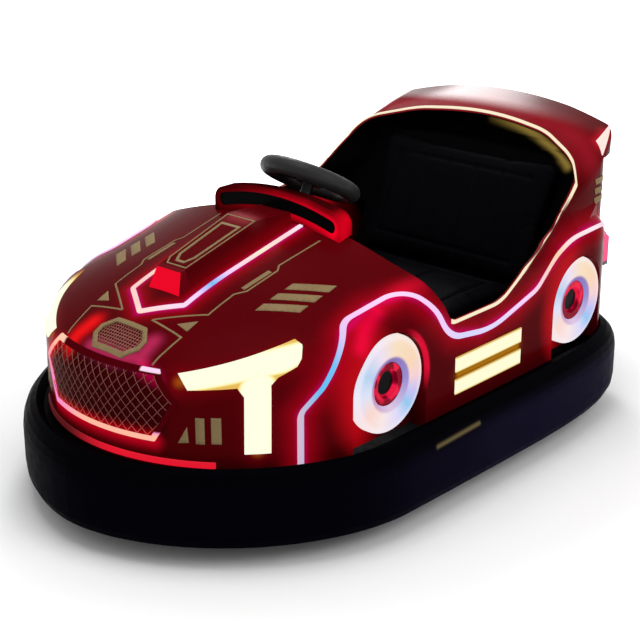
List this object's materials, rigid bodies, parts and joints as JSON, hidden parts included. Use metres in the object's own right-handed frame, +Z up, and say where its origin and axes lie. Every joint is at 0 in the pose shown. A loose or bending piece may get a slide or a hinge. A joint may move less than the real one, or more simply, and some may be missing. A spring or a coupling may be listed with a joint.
{
  "type": "bumper car",
  "caption": "Battery bumper car: lit fibreglass body on a steel pan inside a rubber ring, with a seat, a steering wheel, a steered drive wheel in front and rear wheels on an axle.",
  "frame": {"origin": "on the floor under the middle of the bumper ring", "axes": "+Y from nose to tail, +X to the car's left side, +Z up"},
  "size_m": [1.2934, 1.9513, 0.9402],
  "materials": {
    "body_red": "deep red gel coat, high gloss",
    "visor_black": "black gloss",
    "bumper_rubber": "satin black rubber",
    "pan_steel": "black powder coat",
    "tyre": "solid rubber",
    "hub_metal": "cast",
    "steel_shaft": "turned",
    "black_plastic": "moulded, satin",
    "wheel_black": "soft grip",
    "seat_vinyl": "black vinyl",
    "battery_case": "moulded",
    "lamp_cream": "lit diffuser",
    "lamp_neon": "lit diffuser",
    "lamp_ring": "lit pearl diffuser",
    "lamp_red": "lit red lens",
    "lamp_pink": "lit diffuser",
    "ring_hub_red": "red gloss with a black middle",
    "grille_copper": "copper lacquer"
  },
  "bodies": {
    "car": {"hood_body": "body_red", "tail_body": "body_red", "flank_left": "body_red", "flank_right": "body_red", "hood_spine": "body_red", "cowl": "body_red", "cowl_visor": "visor_black", "bumper_ring": "bumper_rubber", "chassis_pan": "pan_steel", "rear_axle": "pan_steel", "column_tube": "black_plastic", "cockpit_liner": "black_plastic", "back_panel": "black_plastic", "seat_base": "black_plastic", "pedal": "black_plastic", "seat_cushion": "seat_vinyl", "seat_back": "seat_vinyl", "battery": "battery_case", "headlamp_left": "lamp_cream", "headlamp_right": "lamp_cream", "side_lamps_left": "lamp_cream", "side_lamps_right": "lamp_cream", "cockpit_strip": "lamp_cream", "neon_left": "lamp_neon", "neon_right": "lamp_neon", "hood_strip": "lamp_neon", "grille_strip": "lamp_neon", "ring_lamps_left": "lamp_ring", "ring_lamps_right": "lamp_ring", "lip_light": "lamp_red", "spine_lens": "lamp_red", "tail_lamps": "lamp_red", "wing_lamps": "lamp_pink", "ring_hubs_left": "ring_hub_red", "ring_hubs_right": "ring_hub_red", "grille_mesh": "grille_copper"},
    "fork": {"steer_fork": "pan_steel"},
    "drive_wheel": {"drive_tyre": "tyre", "drive_hub": "hub_metal"},
    "steering": {"steering_shaft": "steel_shaft", "steering_wheel": "wheel_black"},
    "rear_wheel_left": {"rear_tyre_left": "tyre", "rear_hub_left": "hub_metal"},
    "rear_wheel_right": {"rear_tyre_right": "tyre", "rear_hub_right": "hub_metal"}
  },
  "joints": [
    {"name": "fork_swivel", "type": "hinge", "parent": "car", "child": "fork", "pos_m": [0, -0.45, 0.3], "axis": [0, 0, 1], "range_deg": [-110, 110]},
    {"name": "drive_roll", "type": "hinge", "parent": "fork", "child": "drive_wheel", "pos_m": [0, -0.45, 0.12], "axis": [1, 0, 0], "continuous": true},
    {"name": "steering_turn", "type": "hinge", "parent": "car", "child": "steering", "pos_m": [0, -0.014, 0.826], "axis": [0, 0.5, 0.866], "range_deg": [-165, 165]},
    {"name": "rear_roll_left", "type": "hinge", "parent": "car", "child": "rear_wheel_left", "pos_m": [0.43, 0.56, 0.1], "axis": [1, 0, 0], "continuous": true},
    {"name": "rear_roll_right", "type": "hinge", "parent": "car", "child": "rear_wheel_right", "pos_m": [-0.43, 0.56, 0.1], "axis": [1, 0, 0], "continuous": true}
  ],
  "couplings": [
    {"joint": "steering_turn", "follows": "fork_swivel", "ratio": 1.5}
  ]
}
